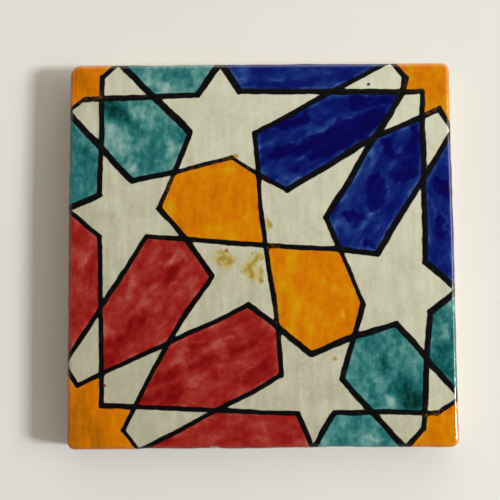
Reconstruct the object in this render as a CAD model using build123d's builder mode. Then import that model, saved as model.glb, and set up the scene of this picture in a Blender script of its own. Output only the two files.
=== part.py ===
"""Square hand-painted wall tile: one pressed, glazed and fired piece of earthenware.

The tile lies on its flat back with the glazed face up. The origin is at the middle of the back,
+Z is out of the face, and X and Y run along the sides.
"""

import os
from math import radians, tan

from build123d import *

# Driving dimensions, in millimetres and degrees
FACE_SIDE = 100.0  # side of the glazed face, where its edges would meet if they were sharp
THICKNESS = 10.0  # from the flat back to the face
CORNER_RADIUS = 2.0  # corners of the face, seen from above
SIDE_DRAFT = 3.0  # each side leans in towards the back, so that laid faces meet edge to edge
FACE_ARRIS = 1.3  # rounded edge that the glaze rolls over
BACK_ARRIS = 0.7  # worn edge of the bare back

# The sides lean in evenly all round, so the back is a smaller square with tighter corners.
SIDE_LEAN = THICKNESS * tan(radians(SIDE_DRAFT))
BACK_SIDE = FACE_SIDE - 2 * SIDE_LEAN
BACK_CORNER_RADIUS = CORNER_RADIUS - SIDE_LEAN


with BuildPart() as tile:
    # Body: the back's outline, drawn out to the face with leaning sides
    with BuildSketch() as back_outline:
        RectangleRounded(BACK_SIDE, BACK_SIDE, BACK_CORNER_RADIUS)
    extrude(amount=THICKNESS, taper=-SIDE_DRAFT)

    # Edges: round at the glazed face, and rubbed at the back
    fillet(tile.faces().sort_by(Axis.Z)[-1].edges(), FACE_ARRIS)
    fillet(tile.faces().sort_by(Axis.Z)[0].edges(), BACK_ARRIS)

tile.part.label = "tile"

os.makedirs("parts", exist_ok=True)
export_step(tile.part, "parts/tile.step")
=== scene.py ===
"""Looks of a square hand-painted tile: its uneven face and edges, painted glaze, floor, light and camera.

Lengths are in millimetres unless a name says otherwise. The face's middle is at x = y = 0, with y away
from the viewer, as in the frame.
"""

import math

import bpy
import numpy as np
from mathutils import Matrix, Vector


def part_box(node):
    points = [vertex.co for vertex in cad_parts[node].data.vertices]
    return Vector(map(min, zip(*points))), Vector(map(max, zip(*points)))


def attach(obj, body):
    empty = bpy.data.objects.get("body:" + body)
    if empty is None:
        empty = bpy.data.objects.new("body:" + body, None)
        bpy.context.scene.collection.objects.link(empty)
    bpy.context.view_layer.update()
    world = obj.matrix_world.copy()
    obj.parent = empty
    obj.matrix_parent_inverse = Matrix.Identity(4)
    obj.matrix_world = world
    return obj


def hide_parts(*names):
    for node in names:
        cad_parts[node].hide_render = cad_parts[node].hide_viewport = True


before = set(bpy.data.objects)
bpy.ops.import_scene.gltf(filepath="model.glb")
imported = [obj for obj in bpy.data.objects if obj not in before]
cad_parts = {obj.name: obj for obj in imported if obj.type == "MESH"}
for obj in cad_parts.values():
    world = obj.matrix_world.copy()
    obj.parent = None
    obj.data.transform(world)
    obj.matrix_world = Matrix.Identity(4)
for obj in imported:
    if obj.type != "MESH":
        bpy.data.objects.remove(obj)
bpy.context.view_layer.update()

MM = 0.001  # one millimetre in scene units

# Body, from the frame
LOW, HIGH = (np.array(corner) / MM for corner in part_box("tile"))
HALF = (HIGH[0] - LOW[0]) / 2
TOP = HIGH[2]

# Body, as made by hand
ARRIS = 1.15  # height of the rounded edge that the glaze rolls over
ARRIS_WIDTH = 1.2  # its width, seen from above
BACK_ARRIS = 0.7
SIDE_DRAFT = math.radians(3)
CORNER_RADIUS = {(1, 1): 2.1, (-1, 1): 3.0, (-1, -1): 2.1, (1, -1): 2.2}  # by the signs of x and y
CROWN = 0.22  # the face's corners lie this much under its middle
PLAN_WANDER = 0.10  # how far the outline strays from a square
FLAT_HALF = HALF - ARRIS_WIDTH - PLAN_WANDER
INK_RELIEF = 0.04  # how proud of the glaze the ink stands
INK_SLOPE = (0.15, -0.35)  # distances from the ink's edge between which it rises
PIT = ((21.2, -16.0), (1.15, 1.6), 0.32)  # place, half width each way and depth of a burst glaze bubble
BACK_INSET = 0.537  # from the back's rounded edge to the border of its flat
BACK_HOLLOW = 0.1
HOLLOW_BORDER = 12.0  # width over which the back falls away to its hollow

# Unevenness, as ripples: a first seed, and then each one's length and its height or share
OUTLINE_RIPPLES = (51, [(55.0, PLAN_WANDER)])
FACE_RIPPLES = (21, [(38.0, 0.05), (9.0, 0.015)])
ARRIS_RIPPLES = (31, [(13.0, 0.08), (4.0, 0.04)])
SIDE_RIPPLES = (33, [(5.0, 0.05)])
BACK_RIPPLES = (41, [(17.0, 0.6)])
HAND_RIPPLES = (1, [(14.0, 0.16), (4.0, 0.05)])  # the painter's hand, off its line
STROKE_RIPPLES = (5, [(9.0, 0.09), (3.0, 0.06)])  # the width of a stroke
DAB_RIPPLES = (61, [(6.0, 0.8), (2.5, 0.4)])  # the border of a dab
TIDE_RIPPLES = (65, [(7.0, 1.0)])  # along the pale border of a blot
RIPPLE_WAVES = 9  # sine waves that make up one ripple
RIPPLE_SPREAD = (0.7, 1.5)  # their lengths, as shares of the ripple's

# Mesh
GRID_STEP = 0.47  # spacing on the face
RIM_STEP = 0.2  # and near its edges
RIM_LINES = 11
CORNER_ZONE = 4.0  # the grid bends round the corners within this distance of the edges
ARRIS_RINGS = 7
SIDE_RINGS = 9
BACK_ARRIS_RINGS = 3
BACK_LAYER_TOP = 0.3  # height up to which the textures are the back's own
BACK_LAYER = 90.0  # how far they lie from the face's, so that the two differ
NET_SHARE = 0.78  # of the bake map's side, for the face and the sides
BACK_SHARE = 0.2  # and for the back
MAP_GAP = 0.01

# Line work: each stroke of the brush through the corners that the painter gave it, and the width of each
# stretch between them. Points at EDGE lie on the rounded edge, where the stroke runs over the side.
EDGE = 50.4
STROKES = {
    "blue rosette": [
        ([(-10.3, EDGE), (-5.3, 42.2), (42.5, 41.9), (42.2, -2.8), (EDGE, -10.4)], [1.9, 1.6, 1.5, 1.7]),
        (
            [(-0.7, 20.4), (-1.3, 31.2), (34.5, EDGE), (38.3, 45.8), (37.3, 41.5), (16.8, 8.8), (20.3, 0.5)],
            [1.3, 1.35, 1.3, 1.6, 1.6, 1.35],
        ),
        (
            [(-0.7, 20.4), (7.0, 16.3), (30.5, 30.2), (47.0, 37.2), (EDGE, 31.5), (29.7, -0.5), (20.3, 0.5)],
            [1.3, 1.6, 1.5, 1.4, 1.6, 1.6],
        ),
    ],
    "red rosette": [
        ([(-EDGE, 11.5), (-41.5, 4.4), (-41.0, -38.8), (8.8, -41.2), (12.7, -EDGE)], [1.25, 1.3, 1.3, 1.4]),
        (
            [(-19.2, 3.5), (-29.5, 4.2), (-EDGE, -28.3), (-47.2, -33.6), (-3.5, -13.6), (4.0, -19.2)],
            [1.35, 1.3, 1.3, 1.25, 1.5],
        ),
        (
            [
                (-19.2, 3.5), (-12.7, -6.0), (-23.8, -22.4), (-35.5, -45.0), (-31.5, -EDGE), (4.8, -31.6),
                (4.0, -19.2),
            ],
            [1.5, 1.3, 1.2, 1.0, 1.2, 1.3],
        ),
    ],
    "turquoise rosettes": [
        (
            [(-10.3, EDGE), (-16.3, 41.6), (-46.0, 40.5), (-EDGE, 37.3), (-33.3, 18.6), (-22.2, 21.0)],
            [1.8, 1.6, 1.1, 1.7, 1.55],
        ),
        (
            [(-EDGE, 11.5), (-41.8, 15.2), (-41.2, 46.3), (-37.0, EDGE), (-18.2, 31.4), (-22.2, 21.0)],
            [1.7, 1.4, 1.2, 1.85, 1.4],
        ),
        (
            [(EDGE, -10.4), (43.0, -15.5), (40.8, -45.0), (36.0, -EDGE), (20.2, -32.6), (23.5, -21.8)],
            [1.9, 1.6, 1.4, 1.6, 1.5],
        ),
        (
            [(12.7, -EDGE), (18.2, -41.0), (44.5, -41.2), (EDGE, -37.5), (34.5, -18.6), (23.5, -21.8)],
            [1.5, 1.4, 1.2, 1.6, 1.7],
        ),
    ],
    "middle": [
        ([(-0.7, 20.4), (1.1, 1.8), (4.0, -19.2)], [1.2, 1.3]),
        ([(-19.2, 3.5), (1.1, 1.8), (20.3, 0.5)], [1.35, 1.35]),
        ([(-22.2, 21.0), (-7.3, 24.8), (-0.7, 20.4)], [1.2, 1.0]),
        ([(-22.2, 21.0), (-26.3, 11.7), (-19.2, 3.5)], [1.15, 1.5]),
        ([(20.3, 0.5), (26.0, -13.3), (23.5, -21.8)], [1.05, 1.45]),
        ([(23.5, -21.8), (12.5, -26.3), (4.0, -19.2)], [1.75, 1.65]),
    ],
}
OVERSHOOT = (0.25, 0.8)  # how far a straight stretch runs past its corner
STROKE_ROUNDING = 0.4  # radius of a stretch's ends
OVERSHOOT_SEED = 12
STROKE_BLEND = 0.07  # how softly strokes run into each other where they meet
INK_RANGE = (-2.0, 4.0)  # distances from the ink's edge that are told apart

# Fills: a point inside each cell that a colour was brushed into, and how much thinner than usual, or thicker
# below 0, the paint is there. All other cells are left white.
FILLS = {
    "blue": [((20, 30), -0.1), ((30, 12), 0.05), ((15, 46), 0.0), ((46.5, 10), 0.0)],
    "red": [((-25, -10), 0.05), ((-12, -27), 0.0), ((-46, -8), 0.1), ((-8, -46), 0.05)],
    "turquoise": [
        ((-30, 30), 0.12), ((32, -30), 0.06), ((-24, 46), 0.22), ((-46, 22), -0.1), ((46.5, -22), -0.2),
        ((24, -46), 0.15),
    ],
    # The orange corner at the bottom left gets the thickest, darkest paint, partly as painted shade where the
    # light falls off there
    "orange": [
        ((-47, 47), 0.0), ((47, 47), 0.1), ((-47, -47), -0.3), ((47, -47), 0.0), ((-12, 12), -0.1),
        ((14, -12), 0.0),
    ],
}
PAINTS = ["white", *FILLS]
UPRIGHT_BRUSH = ("white", "turquoise", "orange")  # brushed up and down the tile, and not along the cell
RASTER_STEP = 0.25  # spacing of the points that the cells are found on
RASTER_HALF = 54.0  # they reach past the edges, over the sides
UNDER_INK = 2.0  # how far a cell's paint runs on under the ink round it
PATCH_STEP = 40.0  # sets the brush marks of each cell apart from those of the others

# Brushwork: dabs where a paint ran together and dried dark, with crisp borders or soft ones, where it is a
# little thicker, and where it was brushed thin. A dab has its two ends and its half width.
BLOTS = {
    "blue": [
        ((4.0, 25.8), (13.2, 27.4), 2.6), ((13.2, 27.4), (19.3, 30.0), 3.2),
        ((14.0, 25.5), (27.0, 31.0), 2.4), ((19.3, 30.8), (31.0, 35.2), 3.4),
        ((25.0, 38.6), (35.0, 40.6), 2.2), ((6.0, 33.0), (12.0, 35.0), 2.0),
        ((40.2, 27.4), (38.6, 21.4), 3.6), ((36.4, 23.8), (35.4, 20.4), 2.6),
        ((32.8, 28.2), (34.2, 26.2), 1.9), ((40.4, 33.0), (40.6, 31.0), 1.8),
        ((30.0, 18.0), (29.6, 13.0), 3.0), ((22.6, 9.6), (25.4, 8.2), 2.4),
        ((26.8, 2.2), (28.4, 1.7), 1.6), ((46.2, 7.4), (46.4, 4.6), 2.2),
        ((45.8, 18.2), (47.8, 15.4), 2.0),
    ],
}
POOLS = {
    "red": [
        ((-24.5, -7.0), (-20.5, -2.5), 2.0), ((-35.0, -21.5), (-31.0, -17.0), 2.4),
        ((-39.5, -31.0), (-37.6, -24.0), 3.4), ((-18.0, -29.5), (-12.5, -27.0), 1.8),
        ((-32.5, -38.5), (-22.0, -35.0), 3.2), ((-28.0, -33.0), (-22.0, -30.0), 2.2),
        ((-3.0, -31.5), (1.0, -28.5), 2.8), ((-7.0, -25.5), (-3.0, -24.5), 2.2),
        ((-18.0, -24.5), (-15.0, -24.0), 1.6),
    ],
    "turquoise": [
        ((-39.0, 38.4), (-37.6, 37.4), 4.8), ((37.9, -38.0), (37.5, -36.2), 5.5),
    ],
    # The wide orange pool in the bottom left corner is partly painted shade, where the light falls off there
    "orange": [((-48.5, -41.0), (-43.0, -48.5), 8.0), ((-47.5, 47.0), (-45.0, 44.0), 5.0)],
}
SHADES = {
    "turquoise": [
        ((-35.5, 37.0), (-33.4, 33.6), 2.2), ((-33.0, 32.4), (-30.0, 30.6), 2.8),
        ((-27.0, 34.6), (-25.6, 33.0), 2.0), ((-26.5, 25.5), (-24.4, 23.5), 2.6),
        ((-22.0, 47.2), (-18.5, 46.4), 2.8), ((32.4, -31.6), (35.8, -35.0), 3.4),
        ((26.8, -25.2), (27.4, -24.4), 2.4), ((31.2, -28.2), (31.6, -29.4), 2.2),
        ((46.0, -23.6), (46.6, -25.6), 2.4),
    ],
}
THIN = {
    "blue": [
        ((20.8, 7.2), (22.2, 5.6), 2.0), ((26.4, 6.6), (28.6, 10.6), 1.8), ((28.6, 26.0), (29.6, 23.6), 1.8),
        ((5.0, 20.8), (9.0, 19.2), 2.2), ((13.0, 31.6), (19.5, 34.4), 1.4), ((-5.0, 46.0), (-4.0, 48.0), 2.4),
        ((44.2, 13.2), (44.4, 10.2), 1.0),
    ],
    "red": [
        ((-17.0, -32.5), (-11.5, -30.0), 1.6), ((-21.5, -27.0), (-19.0, -25.6), 1.4),
        ((-12.5, -24.0), (-8.0, -22.0), 1.6), ((-24.0, -3.0), (-21.0, 0.5), 1.8),
        ((-18.6, -7.6), (-17.6, -6.4), 2.0), ((-31.5, -13.5), (-28.0, -9.5), 2.0),
        ((-35.0, -11.0), (-32.0, -7.0), 1.8), ((-46.0, -4.0), (-45.5, 0.0), 2.0),
    ],
    "turquoise": [
        ((-38.8, 32.4), (-37.2, 26.4), 4.4), ((-33.5, 37.4), (-30.5, 36.6), 2.4),
        ((-23.6, 29.0), (-22.4, 27.4), 2.2), ((-33.8, 24.0), (-32.6, 22.4), 1.8),
        ((31.6, -37.2), (34.0, -39.6), 1.9), ((29.2, -33.4), (29.8, -34.4), 2.2),
        ((36.0, -25.0), (36.4, -26.0), 1.9), ((27.0, -47.6), (30.0, -47.6), 1.4),
        ((-29.0, 45.4), (-25.0, 43.8), 2.4), ((46.6, -20.2), (46.8, -21.2), 1.8),
        ((48.6, -13.4), (49.6, -14.8), 2.4),
    ],
    "orange": [
        ((4.4, -5.0), (5.0, -10.0), 1.6), ((7.6, -2.0), (8.6, -4.0), 2.4), ((8.4, -8.6), (9.0, -17.0), 2.0),
        ((9.4, -18.0), (12.4, -20.0), 2.2), ((19.0, -9.0), (22.0, -11.0), 1.9),
        ((14.8, -4.0), (15.4, -7.5), 1.6), ((-14.0, 20.4), (-9.0, 21.0), 2.2),
        ((-23.0, 12.4), (-20.0, 8.4), 2.0), ((-4.0, 9.0), (-3.0, 16.0), 1.8),
        ((-14.0, 6.2), (-7.0, 5.2), 2.8),
    ],
}
TONES = [  # dabs, how much thinner they make the paint, and the strengths between which their borders fade
    (THIN, 0.6, (0.0, 1.0)),
    (SHADES, -0.3, (0.0, 1.0)),
    (POOLS, -1.0, (0.0, 1.0)),
    (BLOTS, -0.75, (0.05, 0.5)),
]
TIDE = 0.5  # how thin the paint is along the border of a blot, where it drew back
TIDE_START = (0.0, 0.06)  # strengths of the blot between which that border starts
TIDE_END = (0.22, 0.08)  # and between which it ends
TIDE_BREAKS = (-0.1, 0.5)  # ripple heights between which it breaks off

# Flaws: ochre smeared on the white, drops of paint, ink that orange half covers or tints, and a nick
SMEARS = [
    ((-10.2, -1.0), (-8.6, -1.9), 2.9), ((-3.9, -4.6), (-1.0, -1.2), 2.0), ((-2.7, -5.0), (-2.2, -6.2), 1.7),
    ((-0.4, -3.8), (-0.1, -7.4), 1.1), ((1.7, 8.4), (2.1, 6.6), 1.1),
]
DROPS = [
    ((18.5, -27.5), 0.5, "ochre"), ((-9.0, 0.6), 0.5, "brown"), ((-2.3, -0.2), 0.35, "ochre"),
    ((-40.3, -33.8), 0.4, "red"), ((28.5, 44.0), 0.4, "blue"), ((-6.3, 25.2), 0.6, "ochre"),
]
COVERED_INK = [
    ((-46.0, 40.5), (-41.5, 40.8), 2.2), ((41.2, -40.4), (44.5, -41.2), 2.2),
    ((44.0, 36.6), (46.0, 37.2), 1.2), ((2.0, 1.8), (4.0, 1.6), 1.1),
]
INK_TINT = 0.3  # share of the covering orange that tints the ink elsewhere
TINTED_INK = [
    ((-20.0, 21.6), (-8.0, 24.7), 1.2), ((-7.0, 24.8), (-3.0, 22.2), 1.3), ((3.2, -14.5), (3.7, -18.0), 1.1),
    ((-22.6, 20.0), (-25.6, 13.0), 1.1), ((38.6, 45.0), (38.2, 43.2), 1.3), ((40.0, 41.9), (42.3, 41.7), 1.2),
]
NICKS = [((-12.1, -49.7), (1.9, 0.55))]  # place, and half length each way


def waves(points, wavelength, seed):
    """Smooth seeded unevenness over 2-D points, mostly within -1 to 1, with ripples of that length."""
    rng = np.random.default_rng(seed)
    turn = rng.uniform(0, 2 * np.pi, RIPPLE_WAVES)
    length = wavelength * rng.uniform(*RIPPLE_SPREAD, RIPPLE_WAVES)
    phase = rng.uniform(0, 2 * np.pi, RIPPLE_WAVES)
    wave_vectors = np.stack((np.cos(turn), np.sin(turn))) * (2 * np.pi / length)
    return np.sin(points @ wave_vectors + phase).sum(axis=-1) / math.sqrt(2 * RIPPLE_WAVES)


def ripple(points, ripples, seed_shift=0, seed_step=1):
    """Ripples of several lengths over 2-D points, added up."""
    first_seed, parts = ripples
    total = np.zeros(len(points))
    for number, (wavelength, reach) in enumerate(parts):
        total += reach * waves(points, wavelength, first_seed + seed_shift + seed_step * number)
    return total


def drift(points, ripples):
    """A 2-D shift of each point by ripples, with seeds of their own each way."""
    return np.stack([ripple(points, ripples, axis, 2) for axis in range(2)], axis=-1)


def smooth_step(low, high, values):
    """0 up to low, 1 from high, and a smooth rise between."""
    t = np.clip((values - low) / (high - low), 0, 1)
    return t * t * (3 - 2 * t)


def dabs_of(places, dabs):
    """1 along the middle of each dab, falling to 0 at its border."""
    strength = np.zeros(len(places))
    for start, end, half_width in dabs:
        run = np.subtract(end, start)
        share = np.clip((places - start) @ run / (run @ run), 0, 1)
        distance = np.linalg.norm(places - start - share[:, None] * run, axis=1)
        strength = np.maximum(strength, 1 - distance / half_width)
    return strength


def spots_of(places, spots):
    """1 in the middle of each oval spot, falling to 0 at its border."""
    strength = np.zeros(len(places))
    for place, half in spots:
        strength = np.maximum(strength, 1 - np.linalg.norm((places - place) / half, axis=1))
    return strength


# Painted drawing


def segments():
    """Every straight stretch of the line work as start, end and half width, with the hand's overshoot."""
    rng = np.random.default_rng(OVERSHOOT_SEED)
    starts, ends, half_widths = [], [], []
    for stroke, widths in (pair for strokes in STROKES.values() for pair in strokes):
        points = np.array(stroke)
        for start, end, width in zip(points[:-1], points[1:], widths):
            along = (end - start) / np.linalg.norm(end - start)
            before, after = rng.uniform(*OVERSHOOT, 2)
            starts.append(start - along * before)
            ends.append(end + along * after)
            half_widths.append(width / 2)
        for point, width in zip(points, [widths[0], *widths]):
            if np.abs(point).max() >= EDGE:
                starts.append(point)
                ends.append(point * RASTER_HALF / EDGE)
                half_widths.append(width / 2)
    return np.array(starts), np.array(ends), np.array(half_widths)


def ink_distance(points):
    """Distance from 2-D points to the edge of the ink, below 0 inside it."""
    moved = points + drift(points, HAND_RIPPLES)
    swell = 1 + ripple(points, STROKE_RIPPLES)
    total = np.zeros(len(points))
    for start, end, half_width in zip(*segments()):
        length = np.linalg.norm(end - start)
        along = (end - start) / length
        offset = moved - (start + end) / 2
        across = np.array((-along[1], along[0]))
        past_end = np.abs(offset @ along) - length / 2 + STROKE_ROUNDING
        past_side = np.abs(offset @ across) - half_width * swell + STROKE_ROUNDING
        outside = np.hypot(np.maximum(past_end, 0), np.maximum(past_side, 0))
        inside = np.minimum(np.maximum(past_end, past_side), 0)
        total += np.exp(-np.clip(outside + inside - STROKE_ROUNDING, *INK_RANGE) / STROKE_BLEND)
    return -STROKE_BLEND * np.log(total)


def tone_of(places):
    """Above 0 where paint is thin, down to -1 where it is pooled, with uneven borders."""
    moved = places + drift(places, DAB_RIPPLES)
    tone = np.zeros(len(places))
    for dabs, weight, border in TONES:
        for group in dabs.values():
            tone += weight * smooth_step(*border, dabs_of(moved, group))
    blots = dabs_of(moved, BLOTS["blue"])
    tide = smooth_step(*TIDE_START, blots) * smooth_step(*TIDE_END, blots)
    return tone + TIDE * tide * smooth_step(*TIDE_BREAKS, ripple(places, TIDE_RIPPLES))


class Drawing:
    """The painted plan on a fine raster: which cell, and so which paint, each point of it has."""

    def __init__(self):
        axis = np.arange(-RASTER_HALF, RASTER_HALF + RASTER_STEP / 2, RASTER_STEP)
        self.points = np.stack(np.meshgrid(axis, axis, indexing="ij"), axis=-1)
        open_cells = ink_distance(self.points.reshape(-1, 2)).reshape(len(axis), -1) > 0
        inland = np.zeros_like(open_cells)
        inland[1:-1, 1:-1] = True
        self.cells = np.zeros(open_cells.shape, int)
        self.paint_of_cell = ["white"]
        self.thin_of_cell = [0.0]
        for paint, fills in FILLS.items():
            for place, thin in fills:
                self.cells[self.index(np.array(place, float))] = len(self.paint_of_cell)
                self.paint_of_cell.append(paint)
                self.thin_of_cell.append(thin)
        self.spread(open_cells & inland, len(axis))
        unpainted = open_cells & (self.cells == 0)
        self.cells[unpainted] = -1
        self.spread(~(open_cells & inland), int(UNDER_INK / RASTER_STEP))
        self.cells[self.cells < 0] = 0

    def index(self, points):
        """Raster index of 2-D points."""
        steps = np.rint((points + RASTER_HALF) / RASTER_STEP).astype(int)
        steps = np.clip(steps, 0, len(self.points) - 1)
        return steps[..., 0], steps[..., 1]

    def spread(self, where, rounds):
        """Lets each cell's number run to its unnumbered neighbours, one raster step a round."""
        for _ in range(rounds):
            before = self.cells.copy()
            for shift, axis in ((1, 0), (-1, 0), (1, 1), (-1, 1)):
                neighbour = np.roll(self.cells, shift, axis)
                empty = where & (self.cells == 0)
                self.cells[empty] = neighbour[empty]
            if np.array_equal(before, self.cells):
                return

    def paint_numbers(self, points):
        """The paint of each 2-D point's cell, as its number in the list of paints."""
        number_of_cell = np.array([PAINTS.index(paint) for paint in self.paint_of_cell])
        return number_of_cell[self.cells[self.index(points)]]

    def thinness(self, points):
        """How thin the paint of each 2-D point's cell is."""
        return np.array(self.thin_of_cell)[self.cells[self.index(points)]]

    def brush(self, points):
        """For 2-D points: place along and across their cell's brush strokes, with a patch for each cell."""
        cell_of_point = self.cells[self.index(points)]
        result = np.zeros((len(points), 3))
        for cell, paint in enumerate(self.paint_of_cell):
            chosen = cell_of_point == cell
            inside = self.points[self.cells == cell]
            middle = inside.mean(axis=0)
            along = np.linalg.svd(inside - middle, full_matrices=False)[2][0]
            if paint in UPRIGHT_BRUSH:
                along = np.array((0.0, 1.0))
            across = np.array((-along[1], along[0]))
            offset = points[chosen] - middle
            own_patch = PATCH_STEP * cell
            result[chosen, 0] = offset @ along + own_patch
            result[chosen, 1] = offset @ across + own_patch
        return result


# Tile mesh


def inner_radius(x, y):
    """Radius of the flat face's corner in the quarter that each point lies in."""
    radius = np.zeros(np.shape(x))
    for (sign_x, sign_y), outer in CORNER_RADIUS.items():
        radius[(x * sign_x >= 0) & (y * sign_y >= 0)] = outer - ARRIS_WIDTH
    return radius


def round_corners(x, y):
    """Draws the corners of a square grid in, so that its outline is rounded and its rows stay even."""
    inset = FLAT_HALF - CORNER_ZONE
    share_x = np.clip((np.abs(x) - inset) / CORNER_ZONE, 0, 1)
    share_y = np.clip((np.abs(y) - inset) / CORNER_ZONE, 0, 1)
    ring = np.maximum(share_x, share_y)
    along = np.minimum(share_x, share_y)
    radius = inner_radius(x, y) * ring**2
    corner_middle = inset + CORNER_ZONE * ring - radius
    to_diagonal = np.divide(along, ring, out=np.zeros_like(ring), where=ring > 0)
    minor = inset + CORNER_ZONE * along - (1 - math.sqrt(0.5)) * radius * to_diagonal
    reach = np.maximum(minor - corner_middle, 0)
    major = corner_middle + np.sqrt(np.maximum(radius**2 - reach**2, 0))
    in_corner = (share_x > 0) & (share_y > 0)
    wide = share_x >= share_y
    new_x = np.where(in_corner, np.sign(x) * np.where(wide, major, minor), x)
    new_y = np.where(in_corner, np.sign(y) * np.where(wide, minor, major), y)
    return new_x, new_y


def grid_lines():
    """Grid lines across the flat face, closer together near its edges."""
    inner = FLAT_HALF - RIM_STEP * RIM_LINES
    count = 2 * round(inner / GRID_STEP)
    rim = FLAT_HALF - RIM_STEP * np.arange(RIM_LINES)
    return np.concatenate((-rim, np.linspace(-inner, inner, count + 1), rim[::-1]))


def outline_of(grid):
    """The border of a square array, once round, anticlockwise from its lowest corner."""
    return np.concatenate((grid[:-1, 0], grid[-1, :-1], grid[:0:-1, -1], grid[0, :0:-1]))


def quads_of(grid):
    """The squares of a grid of vertex numbers, facing up."""
    return np.stack((grid[:-1, :-1], grid[1:, :-1], grid[1:, 1:], grid[:-1, 1:]), axis=-1).reshape(-1, 4)


def band_of(upper, lower):
    """The squares between two rings of vertex numbers, facing out."""
    return np.stack((upper, lower, np.roll(lower, -1), np.roll(upper, -1)), axis=-1)


def face_height(plan):
    """Height of the glazed face: a slight crown, the unevenness of a hand-made thing, ink and a pit."""
    height = -CROWN * (plan**2).sum(axis=1) / (2 * FLAT_HALF**2)
    height += ripple(plan, FACE_RIPPLES)
    height += INK_RELIEF * smooth_step(*INK_SLOPE, ink_distance(plan))
    place, half, depth = PIT
    return height - depth * smooth_step(0, 1, spots_of(plan, [(place, half)]))


class Shell:
    """The tile's closed skin, built from the face down over the sides to the back.

    Each vertex has its corner, with the middle of the face at z = 0, and its place on the skin folded out
    flat.
    """

    def __init__(self):
        lines = grid_lines()
        self.grid = np.stack(round_corners(*np.meshgrid(lines, lines, indexing="ij")), axis=-1)
        plan = self.grid.reshape(-1, 2)
        heights = face_height(plan)
        numbers = np.arange(len(plan)).reshape(self.grid.shape[:2])
        self.corners = [np.column_stack((plan, heights))]
        self.places = [plan]
        self.faces = [quads_of(numbers)]

        # Rim: where the last ring of vertices is, how far out, how high, and how far down the skin
        self.ring = outline_of(numbers)
        self.rim_plan = plan[self.ring]
        self.out = np.zeros(len(self.ring))
        self.height = heights[self.ring]
        self.travel = np.zeros(len(self.ring))
        core = FLAT_HALF - inner_radius(*self.rim_plan.T)[:, None]
        from_core = self.rim_plan - np.clip(self.rim_plan, -core, core)
        self.outward = from_core / np.linalg.norm(from_core, axis=1)[:, None]

        self.add_arris()
        self.add_side()
        self.add_back_arris()
        self.back_start = sum(map(len, self.faces))
        self.add_back()

    def add_ring(self, out, height, travel, uneven=0.0):
        """One more ring of vertices, joined to the last one."""
        new_ring = np.arange(len(self.ring)) + sum(map(len, self.corners))
        self.corners.append(np.column_stack((self.rim_plan + self.outward * (out + uneven)[:, None], height)))
        self.places.append(self.rim_plan + self.outward * travel[:, None])
        self.faces.append(band_of(self.ring, new_ring))
        self.ring = new_ring
        self.out = out
        self.height = height
        self.travel = travel

    def add_arris(self):
        """The glazed edge, a flattened quarter round of uneven size."""
        start = self.height
        swell = 1 + ripple(self.rim_plan, ARRIS_RIPPLES)
        for step in range(1, ARRIS_RINGS + 1):
            angle = (math.pi / 2 + SIDE_DRAFT) * step / ARRIS_RINGS
            out = ARRIS_WIDTH * swell * math.sin(angle)
            height = start - ARRIS * swell * (1 - math.cos(angle))
            travel = self.travel + np.hypot(out - self.out, height - self.height)
            self.add_ring(out, height, travel)

    def add_side(self):
        """The side, leaning in to the back's rounded edge."""
        out = self.out
        height = self.height
        travel = self.travel
        drop = height + TOP - BACK_ARRIS
        for step in range(1, SIDE_RINGS + 1):
            down = drop * step / SIDE_RINGS
            uneven = ripple(np.column_stack((self.rim_plan.sum(axis=1), down)), SIDE_RIPPLES)
            self.add_ring(out - down * math.tan(SIDE_DRAFT), height - down, travel + down, uneven)

    def add_back_arris(self):
        """The worn edge of the back, a quarter round."""
        out = self.out
        height = self.height
        travel = self.travel
        for step in range(1, BACK_ARRIS_RINGS + 1):
            angle = (math.pi / 2 - SIDE_DRAFT) * step / BACK_ARRIS_RINGS
            inward = BACK_ARRIS * (1 - math.cos(angle))
            self.add_ring(out - inward, height - BACK_ARRIS * math.sin(angle), travel + BACK_ARRIS * angle)

    def add_back(self):
        """The back, hollowed very slightly: every second grid line, drawn in to fit the last ring."""
        edge = FLAT_HALF + self.out.min() - BACK_INSET
        grid = self.grid[::2, ::2] * (edge / FLAT_HALF)
        plan = grid.reshape(-1, 2)
        inside = edge - np.abs(plan).max(axis=1)
        hollow = BACK_HOLLOW * smooth_step(0, HOLLOW_BORDER, inside) * (1 + ripple(plan, BACK_RIPPLES))
        numbers = (np.arange(len(plan)) + sum(map(len, self.corners))).reshape(grid.shape[:2])
        self.corners.append(np.column_stack((plan, hollow - TOP)))
        self.places.append(plan)
        border = outline_of(numbers)
        next_border = np.roll(border, -1)
        first, second, third = self.ring[0::2], self.ring[1::2], np.roll(self.ring[0::2], -1)
        self.faces += [
            np.stack((first, border, second), axis=-1),
            np.stack((second, border, next_border), axis=-1),
            np.stack((second, next_border, third), axis=-1),
            quads_of(numbers)[:, ::-1],
        ]


def fit_to_frame(corners):
    """Moves the skin up onto its back, with an outline that wanders but stays within the frame's box."""
    plan = corners[:, :2] + drift(corners[:, :2], OUTLINE_RIPPLES)
    plan *= min(1, HALF / np.abs(plan).max())
    heights = corners[:, 2] + TOP - corners[:, 2].max()
    return np.column_stack((plan, np.maximum(heights, 0)))


def lap_of(places):
    """How far past the flat face's edge each place lies, below 0 on the face."""
    core = FLAT_HALF - inner_radius(*places.T)[:, None]
    beyond = np.abs(places) - core
    outside = np.linalg.norm(np.maximum(beyond, 0), axis=1)
    return outside + np.minimum(beyond.max(axis=1), 0) - (FLAT_HALF - core[:, 0])


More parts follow.
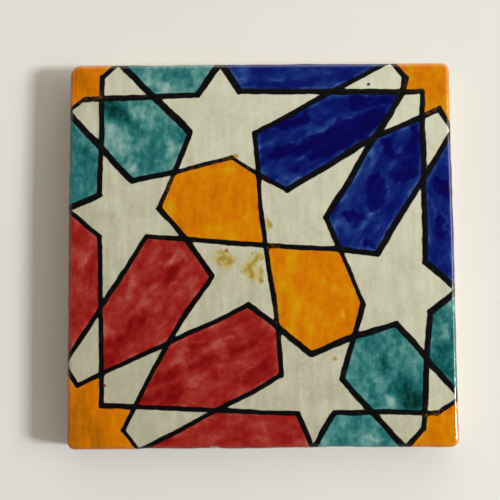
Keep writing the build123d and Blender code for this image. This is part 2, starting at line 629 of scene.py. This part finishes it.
def set_attributes(mesh, drawing, places, heights):
    """Writes what the materials read: one number, or one vector, for each vertex."""
    layers = np.where(heights < BACK_LAYER_TOP, BACK_LAYER, 0.0)
    attributes = {
        "plan": np.column_stack((places, layers)),
        "brush": drawing.brush(places),
        "ink": ink_distance(places),
        "lap": lap_of(places),
        "smear": dabs_of(places, SMEARS),
        "covered": np.maximum(dabs_of(places, COVERED_INK), INK_TINT * dabs_of(places, TINTED_INK)),
        "tone": tone_of(places) + drawing.thinness(places),
        "nick": spots_of(places, NICKS),
    }
    for name, values in attributes.items():
        kind, field = ("FLOAT", "value") if values.ndim == 1 else ("FLOAT_VECTOR", "vector")
        attribute = mesh.attributes.new(name, kind, "POINT")
        attribute.data.foreach_set(field, values.ravel().astype(np.float32))


def unwrap(mesh, places, is_back):
    """One map of the face with its sides folded out, and a small one of the back beside it."""
    net = (places / np.abs(places).max() + 1) / 2 * NET_SHARE
    back = (places / HALF + 1) / 2 * BACK_SHARE + NET_SHARE + MAP_GAP
    vertex_of_loop = np.empty(len(mesh.loops), int)
    mesh.loops.foreach_get("vertex_index", vertex_of_loop)
    face_sizes = np.empty(len(mesh.polygons), int)
    mesh.polygons.foreach_get("loop_total", face_sizes)
    on_back = np.repeat(is_back, face_sizes)[:, None]
    map_places = np.where(on_back, back[vertex_of_loop], net[vertex_of_loop])
    mesh.uv_layers.new(name="OFBake").data.foreach_set("uv", map_places.ravel().astype(np.float32))


def make_tile(materials):
    """The whole tile as one mesh, with its paint assigned cell by cell."""
    drawing = Drawing()
    shell = Shell()
    corners = fit_to_frame(np.concatenate(shell.corners))
    places = np.concatenate(shell.places)
    faces = [face.tolist() for part in shell.faces for face in part]
    is_back = np.arange(len(faces)) >= shell.back_start

    mesh = bpy.data.meshes.new("painted_tile")
    mesh.from_pydata((corners * MM).tolist(), [], faces)
    mesh.polygons.foreach_set("use_smooth", np.ones(len(faces), bool))
    slots = drawing.paint_numbers(np.array([places[face].mean(axis=0) for face in faces]))
    slots[is_back] = len(PAINTS)
    for name in (*PAINTS, "biscuit"):
        mesh.materials.append(materials[name])
    mesh.polygons.foreach_set("material_index", slots)
    set_attributes(mesh, drawing, places, corners[:, 2])
    unwrap(mesh, places, is_back)
    mesh.update()

    tile = bpy.data.objects.new("painted_tile", mesh)
    bpy.context.scene.collection.objects.link(tile)
    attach(tile, "root")
    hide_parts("tile")


# Materials


def srgb(red, green, blue):
    """A colour given in 0 to 255 screen values, as scene-linear RGBA."""
    shares = np.array((red, green, blue)) / 255
    linear = np.where(shares <= 0.04045, shares / 12.92, ((shares + 0.055) / 1.055) ** 2.4)
    return (*linear.tolist(), 1.0)


# Glaze: its tones from thin to thick, its place on them at the middle of the face, and painted light and
# shade that make it lighter towards the right and far side and darker towards the left edge
GLAZE = [(0.0, srgb(168, 165, 141)), (0.5, srgb(190, 188, 164)), (1.0, srgb(204, 205, 182))]
GLAZE_DEPTH = 0.44
PAINTED_LIGHT_TO_RIGHT = 0.0055  # painted light, lighter to the right and far side: change for each millimetre
PAINTED_LIGHT_TO_FAR = 0.0075
PAINTED_SHADE_LEFT_EDGE = (-38.0, -49.0)  # x between which painted shade darkens the glaze towards the left edge
PAINTED_SHADE_AT_LEFT = -0.22
GLAZE_STREAKS = (0.5, 0.07, 1.0)  # patches to a millimetre each way
WARM_STREAKS = (0.45, 0.16, 1.0)
WARM_GLAZE = srgb(188, 180, 154)
GLAZE_IOR = 1.62  # a lead glaze
GLAZE_ROUGHNESS = 0.11
INK_DULLNESS = 0.1  # added to that where there is ink
GLAZE_RELIEF = 0.03
GLAZE_GRIT = 0.15  # share of fine grit in that relief
PAINT_END = (2.2, 2.7)  # distances down the skin from the flat face's edge between which the paint ends
GLAZE_END = (3.4, 3.8)  # and the glaze

# Bare clay
BISCUIT = [(0.2, srgb(168, 142, 106)), (0.5, srgb(196, 172, 134)), (0.8, srgb(214, 194, 158))]
CLAY_SPECKS = srgb(122, 92, 62)
CLAY_GRIT = 2.0  # added to the share of grit where the side is bare
SIDE_ROUGHNESS = 0.88
BACK_ROUGHNESS = 0.9
BACK_RELIEF = 0.12

# Ink and flaws
FULL_INK = srgb(3, 3, 5)
THIN_INK = srgb(20, 16, 14)
INK_RAGGEDNESS = 0.16
COVERED_RAGGEDNESS = 0.8  # added to that where orange covers the ink
ORANGE_OVER_INK = srgb(128, 80, 6)
SMEAR_FILM = srgb(184, 168, 86)
SMEAR_CLOTS = srgb(148, 120, 30)
DROP_COLOURS = {
    "ochre": srgb(170, 134, 50),
    "brown": srgb(150, 106, 26),
    "red": srgb(138, 22, 20),
    "blue": srgb(7, 4, 86),
}
DROP_BORDER = (0.25, -0.2)  # distances from a drop's border between which it fades in

# Paints: tones from thick to thin, and how the brush leaves them
COLOURS = {
    "blue": [
        (0.1, srgb(3, 0, 66)), (0.32, srgb(4, 3, 81)), (0.55, srgb(7, 23, 100)), (0.78, srgb(26, 52, 120)),
        (1.0, srgb(62, 90, 148)),
    ],
    "red": [
        (0.1, srgb(114, 8, 10)), (0.36, srgb(138, 22, 20)), (0.55, srgb(150, 40, 33)),
        (0.78, srgb(162, 70, 58)), (1.0, srgb(180, 106, 90)),
    ],
    "turquoise": [
        (0.05, srgb(3, 44, 39)), (0.3, srgb(17, 87, 86)), (0.5, srgb(43, 110, 109)),
        (0.72, srgb(85, 139, 135)), (1.0, srgb(139, 169, 161)),
    ],
    "orange": [
        (0.0, srgb(158, 92, 2)), (0.2, srgb(186, 102, 0)), (0.42, srgb(202, 112, 0)),
        (0.68, srgb(203, 134, 1)), (0.95, srgb(204, 152, 10)),
    ],
}
PLAIN_BRUSHWORK = {
    "base": 0.5,  # place on the tones
    "grain": (0.2, 0.2),  # clouds to a millimetre along and across the brush
    "cloud": 1.0,  # how strong the clouds are, and so on below
    "mottle": 0.0,
    "streak": 1.0,
    "stroke": (0.05, 0.3),  # streaks to a millimetre along and across the brush
    "tone": 0.0,  # of dabs, pools and thin cells
    "wisp": 0.0,
    "rim": 0.0,  # thinner beside the ink
    "cover": 0.0,  # how much of the covered ink this paint hides
}
BRUSHWORK = {
    "blue": {
        "base": 0.58, "grain": (0.14, 0.24), "cloud": 0.7, "mottle": 0.4, "streak": 0.4, "tone": 0.4,
        "wisp": 0.3, "rim": 0.24,
    },
    "red": {
        "base": 0.47, "grain": (0.2, 0.26), "cloud": 1.0, "mottle": 0.6, "streak": 0.3, "tone": 0.3,
        "wisp": 0.2, "rim": 0.14,
    },
    "turquoise": {
        "base": 0.49, "grain": (0.16, 0.2), "cloud": 0.9, "mottle": 0.85, "streak": 0.1, "tone": 0.46,
        "rim": 0.06,
    },
    "orange": {
        "base": 0.46, "grain": (0.14, 0.24), "cloud": 0.8, "mottle": 0.7, "streak": 0.6,
        "stroke": (0.1, 0.42), "tone": 0.3, "rim": 0.1, "cover": 0.5,
    },
    "white": {"cover": 0.15},
}
MOTTLE_GRAIN = (0.5, 0.62)
WISP_GRAIN = (0.16, 0.5)


class Nodes:
    """Short calls that build one node tree."""

    def __init__(self, tree):
        self.tree = tree

    def add(self, kind, inputs, **settings):
        """A new node with its settings, and its inputs by number or name: values, or other nodes' outputs."""
        node = self.tree.nodes.new(kind)
        for name, value in settings.items():
            setattr(node, name, value)
        for number, value in inputs.items():
            self.feed(node.inputs[number], value)
        return node

    def feed(self, socket, value):
        """Links an output to a socket, or sets the socket's own value."""
        if isinstance(value, bpy.types.NodeSocket):
            self.tree.links.new(value, socket)
        else:
            socket.default_value = value

    def number(self, name):
        """One number of the mesh for each vertex."""
        return self.add("ShaderNodeAttribute", {}, attribute_name=name).outputs["Fac"]

    def vector(self, name):
        """One vector of the mesh for each vertex."""
        return self.add("ShaderNodeAttribute", {}, attribute_name=name).outputs["Vector"]

    def math(self, operation, first, second=0.0, third=0.0):
        """Arithmetic on numbers."""
        return self.add("ShaderNodeMath", {0: first, 1: second, 2: third}, operation=operation).outputs[0]

    def times(self, first, second):
        """Two numbers multiplied."""
        return self.math("MULTIPLY", first, second)

    def total(self, *values):
        """All the numbers added up."""
        result = values[0]
        for value in values[1:]:
            result = self.math("ADD", result, value)
        return result

    def stretch(self, vector, factors):
        """A vector times a factor along each axis."""
        return self.add("ShaderNodeVectorMath", {0: vector, 1: factors}, operation="MULTIPLY").outputs[0]

    def noise(self, vector, scale=1.0, detail=3.0, roughness=0.5, distortion=0.0):
        """Cloudy noise about 0.5, with patches of about 1 / scale."""
        inputs = {"Vector": vector, "Scale": scale, "Detail": detail, "Roughness": roughness}
        inputs["Distortion"] = distortion
        return self.add("ShaderNodeTexNoise", inputs).outputs[0]

    def brush_noise(self, grain, detail=3.0, roughness=0.5, distortion=0.0):
        """Cloudy noise that follows the brush, with its grain along and across the strokes."""
        place = self.stretch(self.vector("brush"), (*grain, 0.0))
        return self.noise(place, detail=detail, roughness=roughness, distortion=distortion)

    def centred(self, noise, gain):
        """Noise about 0.5 turned into an amount about 0."""
        return self.times(self.math("SUBTRACT", noise, 0.5), gain)

    def fade(self, value, low, high, start=0.0, end=1.0):
        """One number up to low, another from high, and a smooth change between."""
        inputs = {0: value, 1: low, 2: high, 3: start, 4: end}
        return self.add("ShaderNodeMapRange", inputs, interpolation_type="SMOOTHSTEP").outputs[0]

    def mix(self, share, first, second, strength=1.0):
        """A colour between two colours, with at most that strength of the second."""
        share = self.times(share, strength)
        return self.add("ShaderNodeMix", {0: share, 6: first, 7: second}, data_type="RGBA").outputs[2]

    def ramp(self, value, stops):
        """A colour from a list of (place, colour)."""
        node = self.add("ShaderNodeValToRGB", {0: value})
        elements = node.color_ramp.elements
        while len(elements) < len(stops):
            elements.new(1.0)
        for element, (place, colour) in zip(elements, stops):
            element.position = place
            element.color = colour
        return node.outputs[0]

    def bump(self, height, depth):
        """A normal from a height."""
        inputs = {"Height": height, "Distance": depth * MM, "Strength": 1.0}
        return self.add("ShaderNodeBump", inputs).outputs[0]


def new_material(name):
    """An empty material, the builder of its node tree, and its shader's inputs."""
    material = bpy.data.materials.new(name)
    material.use_nodes = True
    tree = material.node_tree
    return material, Nodes(tree), tree.nodes["Principled BSDF"].inputs


def biscuit_colour(nodes, plan):
    """Bare fired clay: buff, cloudy, with fine grit and a few dark specks."""
    cloud = nodes.noise(plan, scale=0.12, detail=5.0, roughness=0.62)
    grit = nodes.noise(plan, scale=2.6, detail=2.0, roughness=0.6)
    depth = nodes.total(0.5, nodes.centred(cloud, gain=1.3), nodes.centred(grit, gain=0.55))
    specks = nodes.fade(nodes.noise(plan, scale=1.4, detail=1.0), low=0.68, high=0.76)
    return nodes.mix(specks, nodes.ramp(depth, BISCUIT), CLAY_SPECKS, strength=0.6)


def glaze_colour(nodes, plan):
    """White tin glaze: upright streaks, clouds, speckle, painted light towards the far right, painted shade
    at the left edge.
    """
    streaks = nodes.noise(nodes.stretch(plan, GLAZE_STREAKS), roughness=0.6)
    clouds = nodes.noise(plan, scale=0.13, detail=4.0, roughness=0.6)
    speckle = nodes.noise(plan, scale=1.1, detail=2.0, roughness=0.6)
    place = nodes.add("ShaderNodeSeparateXYZ", {0: plan}).outputs
    # painted light and shade: lighter to the right and far side, darker at the left edge
    depth = nodes.total(
        GLAZE_DEPTH, nodes.centred(streaks, gain=1.0), nodes.centred(clouds, gain=1.2),
        nodes.centred(speckle, gain=0.6), nodes.times(place["X"], PAINTED_LIGHT_TO_RIGHT),
        nodes.times(place["Y"], PAINTED_LIGHT_TO_FAR), nodes.fade(place["X"], *PAINTED_SHADE_LEFT_EDGE, end=PAINTED_SHADE_AT_LEFT),
    )
    warmth = nodes.fade(nodes.noise(nodes.stretch(plan, WARM_STREAKS), roughness=0.6), low=0.48, high=0.75)
    return nodes.mix(warmth, nodes.ramp(depth, GLAZE), WARM_GLAZE, strength=0.5)


def flawed(nodes, plan, white):
    """The white with its flaws: ochre smears, a pale film with torn patches, and single drops of paint."""
    smear = nodes.number("smear")
    torn = nodes.noise(plan, scale=0.7, roughness=0.6, distortion=0.3)
    clotted = nodes.noise(plan, scale=0.45, roughness=0.6, distortion=0.5)
    within = nodes.fade(smear, low=0.0, high=0.3)
    film = nodes.fade(nodes.total(smear, nodes.centred(torn, gain=2.2)), low=0.0, high=0.55)
    clots = nodes.fade(nodes.total(smear, nodes.centred(clotted, gain=3.0)), low=0.3, high=1.0)
    colour = nodes.mix(nodes.times(film, within), white, SMEAR_FILM, strength=0.75)
    colour = nodes.mix(nodes.times(clots, within), colour, SMEAR_CLOTS, strength=0.8)
    uneven = nodes.centred(nodes.noise(plan, scale=1.3, detail=1.0), gain=0.5)
    for place, radius, paint in DROPS:
        inputs = {0: plan, 1: (*place, 0.0)}
        distance = nodes.add("ShaderNodeVectorMath", inputs, operation="DISTANCE").outputs["Value"]
        outside = nodes.total(distance, uneven, -radius)
        colour = nodes.mix(nodes.fade(outside, *DROP_BORDER), colour, DROP_COLOURS[paint], strength=0.95)
    return colour


def paint_colour(nodes, work, clouds, tones):
    """A paint: clouds, mottles, streaks along the brush, pools, thin places, wisps, and thin by the ink."""
    mottles = nodes.brush_noise(MOTTLE_GRAIN, roughness=0.6)
    streaks = nodes.brush_noise(work["stroke"], detail=2.0)
    wisps = nodes.fade(nodes.brush_noise(WISP_GRAIN, detail=2.0, distortion=0.3), low=0.58, high=0.8)
    near_ink = nodes.fade(nodes.number("ink"), low=1.1, high=0.0)
    rim = nodes.times(near_ink, nodes.fade(clouds, low=0.3, high=0.6))
    dabs = nodes.times(nodes.number("tone"), nodes.total(1.0, nodes.centred(clouds, gain=0.8)))
    depth = nodes.total(
        work["base"], nodes.centred(clouds, work["cloud"]), nodes.centred(mottles, work["mottle"]),
        nodes.centred(streaks, work["streak"]), nodes.times(dabs, work["tone"]),
        nodes.times(wisps, work["wisp"]), nodes.times(rim, work["rim"]),
    )
    return nodes.ramp(depth, tones)


def ink_of(nodes, plan, fine, cover):
    """Where the ink is, and its colour: a ragged edge, thinner places, and orange that half covers it."""
    covered = nodes.number("covered")
    raggedness = nodes.math("MULTIPLY_ADD", covered, COVERED_RAGGEDNESS, INK_RAGGEDNESS)
    ragged = nodes.times(nodes.centred(fine, gain=1.0), raggedness)
    share = nodes.fade(nodes.total(nodes.number("ink"), ragged), low=0.1, high=-0.1)
    thin = nodes.fade(nodes.noise(plan, scale=0.4, detail=2.0), low=0.5, high=0.8)
    over = nodes.fade(nodes.noise(plan, scale=0.7, detail=2.0, roughness=0.6), low=0.42, high=0.62)
    over = nodes.times(over, nodes.fade(covered, low=0.0, high=0.5))
    return share, nodes.mix(over, nodes.mix(thin, FULL_INK, THIN_INK), ORANGE_OVER_INK, strength=cover)


def edge_of(nodes, plan, fine, colour, white):
    """The colour with its end on the arris: white in a nick and down the side, and bare clay below that.

    It comes with the share of bare clay.
    """
    lap = nodes.number("lap")
    cloud = nodes.noise(plan, scale=0.16, roughness=0.55)
    paint_end = nodes.fade(nodes.total(lap, nodes.centred(cloud, gain=2.0)), *PAINT_END)
    glaze_end = nodes.fade(nodes.total(lap, nodes.centred(cloud, gain=6.0)), *GLAZE_END)
    nick = nodes.number("nick")
    chipped = nodes.fade(nodes.total(nick, nodes.centred(fine, gain=1.0)), low=0.1, high=0.4)
    chipped = nodes.times(chipped, nodes.fade(nick, low=0.0, high=0.2))
    colour = nodes.mix(chipped, colour, white, strength=0.75)
    colour = nodes.mix(paint_end, colour, white)
    return nodes.mix(glaze_end, colour, biscuit_colour(nodes, plan)), glaze_end


def painted(name, paint):
    """One paint, or the plain white, over the glaze and under the ink, down to the bare clay of the side."""
    material, nodes, shader = new_material(name)
    work = PLAIN_BRUSHWORK | BRUSHWORK[paint]
    plan = nodes.vector("plan")
    fine = nodes.noise(plan, scale=0.9, detail=2.0)
    clouds = nodes.brush_noise(work["grain"])
    white = glaze_colour(nodes, plan)
    if paint == "white":
        colour = flawed(nodes, plan, white)
    else:
        colour = paint_colour(nodes, work, clouds, COLOURS[paint])
    ink_share, ink_colour = ink_of(nodes, plan, fine, work["cover"])
    colour = nodes.mix(ink_share, colour, ink_colour)
    colour, clay_share = edge_of(nodes, plan, fine, colour, white)
    nodes.feed(shader["Base Color"], colour)

    # Gloss, and a fine relief that is grittier on the clay
    dullness = nodes.total(nodes.centred(clouds, gain=0.08), nodes.times(ink_share, INK_DULLNESS))
    gloss = nodes.total(GLAZE_ROUGHNESS, dullness)
    nodes.feed(shader["Roughness"], nodes.math("MAXIMUM", gloss, nodes.times(clay_share, SIDE_ROUGHNESS)))
    shader["IOR"].default_value = GLAZE_IOR
    dimples = nodes.noise(plan, scale=0.7, detail=2.0)
    grit = nodes.noise(plan, scale=2.2, detail=2.0, roughness=0.6)
    grit_share = nodes.math("MULTIPLY_ADD", clay_share, CLAY_GRIT, GLAZE_GRIT)
    height = nodes.total(dimples, nodes.times(grit, grit_share))
    nodes.feed(shader["Normal"], nodes.bump(height, GLAZE_RELIEF))
    return material


def bare_biscuit():
    """The unglazed back."""
    material, nodes, shader = new_material("biscuit")
    plan = nodes.vector("plan")
    nodes.feed(shader["Base Color"], biscuit_colour(nodes, plan))
    shader["Roughness"].default_value = BACK_ROUGHNESS
    grit = nodes.noise(plan, scale=1.6, detail=4.0, roughness=0.7)
    nodes.feed(shader["Normal"], nodes.bump(grit, BACK_RELIEF))
    return material


def make_materials():
    """Every finish of the tile by name."""
    paints = {paint: painted(paint + "_paint", paint) for paint in FILLS}
    return {"white": painted("white_glaze", "white"), **paints, "biscuit": bare_biscuit()}


# Setting

FLOOR_HALF = 3000.0
FLOOR_TONES = [(0.3, srgb(214, 212, 206)), (0.7, srgb(222, 220, 215))]
FLOOR_ROUGHNESS = 0.6
KEY_DIRECTION = (0.988, -0.157)  # plan direction towards the key lamp
KEY_HEIGHT = math.radians(37)
KEY_DISTANCE = 2400.0
KEY_SIZE = (360.0, 360.0)
KEY_WATTS = 52.2
KEY_COLOUR = (0.88, 0.94, 1.0)
STRIPS = [  # long low lamps, for gleams along the tile's right and far edges: place, size and watts
    ((1250.0, 60.0, 780.0), (600.0, 130.0), 4.2),
    ((300.0, 1400.0, 520.0), (1300.0, 130.0), 3.5),
]
SKY_COLOUR = (1.0, 0.93, 0.82)
SKY_LEVEL = 0.62
SKY_SIDE = (0.5, 0.72, 0.0)  # how much brighter the surround is towards +x and +y than away from them
SKY_OVERHEAD = 0.03  # dim straight above, so that the gloss doesn't veil the colours seen from there
SKY_DIMMING = (0.8, 0.93)  # sines of the heights between which it dims
VIEW_TILT = math.radians(5.9)  # off straight down, towards the viewer
VIEW_ROLL = math.radians(-0.45)
VIEW_DISTANCE = 275.0
VIEW_AIM = (-2.9, 0.6)
VIEW_NEAR = 10.0  # nothing closer than this is drawn
LENS = 77.0


def make_floor():
    """A plain pale floor."""
    material, nodes, shader = new_material("pale_floor")
    place = nodes.add("ShaderNodeTexCoord", {}).outputs["Object"]
    nodes.feed(shader["Base Color"], nodes.ramp(nodes.noise(place, scale=6.0), FLOOR_TONES))
    shader["Roughness"].default_value = FLOOR_ROUGHNESS
    half = FLOOR_HALF * MM
    mesh = bpy.data.meshes.new("floor")
    corners = [(-half, -half, 0), (half, -half, 0), (half, half, 0), (-half, half, 0)]
    mesh.from_pydata(corners, [], [(0, 1, 2, 3)])
    mesh.materials.append(material)
    floor = bpy.data.objects.new("floor", mesh)
    bpy.context.scene.collection.objects.link(floor)


def aim(thing, place, target, roll=0.0):
    """Puts a lamp or camera at a place, looking at the target."""
    look = (Vector(target) - Vector(place)).to_track_quat("-Z", "Y").to_matrix().to_4x4()
    thing.matrix_world = Matrix.Translation(Vector(place) * MM) @ look @ Matrix.Rotation(roll, 4, "Z")


def make_lamp(name, place, size, watts, colour):
    """An area lamp that faces the tile."""
    lamp = bpy.data.lights.new(name, "AREA")
    lamp.shape = "RECTANGLE"
    lamp.size, lamp.size_y = (side * MM for side in size)
    lamp.energy = watts
    lamp.color = colour
    holder = bpy.data.objects.new(name, lamp)
    bpy.context.scene.collection.objects.link(holder)
    aim(holder, place, (0, 0, TOP))


def make_lamps():
    """A small key lamp from the right, and weak strips at two sides."""
    across = KEY_DISTANCE * math.cos(KEY_HEIGHT)
    place = (across * KEY_DIRECTION[0], across * KEY_DIRECTION[1], KEY_DISTANCE * math.sin(KEY_HEIGHT))
    make_lamp("key", place, KEY_SIZE, KEY_WATTS, KEY_COLOUR)
    for number, (strip_place, size, watts) in enumerate(STRIPS, 1):
        make_lamp(f"strip_{number}", strip_place, size, watts, SKY_COLOUR)


def make_surround():
    """A warm glow from all round, stronger from the right and the far side, and dim overhead."""
    world = bpy.data.worlds.new("surround")
    bpy.context.scene.world = world
    world.use_nodes = True
    nodes = Nodes(world.node_tree)
    direction = nodes.add("ShaderNodeTexCoord", {}).outputs["Generated"]
    height = nodes.add("ShaderNodeSeparateXYZ", {0: direction}).outputs["Z"]
    level = nodes.fade(height, *SKY_DIMMING, start=SKY_LEVEL, end=SKY_OVERHEAD)
    inputs = {0: direction, 1: SKY_SIDE}
    side = nodes.add("ShaderNodeVectorMath", inputs, operation="DOT_PRODUCT").outputs["Value"]
    background = world.node_tree.nodes["Background"].inputs
    background["Color"].default_value = (*SKY_COLOUR, 1.0)
    nodes.feed(background["Strength"], nodes.math("MULTIPLY_ADD", side, level, level))


def make_camera():
    """The photograph's view: nearly straight down, from a little towards the viewer."""
    camera = bpy.data.objects.new("camera", bpy.data.cameras.new("camera"))
    camera.data.lens = LENS
    camera.data.dof.use_dof = False
    camera.data.clip_start = VIEW_NEAR * MM
    bpy.context.scene.collection.objects.link(camera)
    bpy.context.scene.camera = camera
    target = (*VIEW_AIM, TOP)
    back = VIEW_DISTANCE * math.sin(VIEW_TILT)
    up = VIEW_DISTANCE * math.cos(VIEW_TILT)
    aim(camera, (target[0], target[1] - back, target[2] + up), target, VIEW_ROLL)


make_tile(make_materials())
make_floor()
make_lamps()
make_surround()
make_camera()
bpy.context.scene.view_settings.view_transform = "Standard"
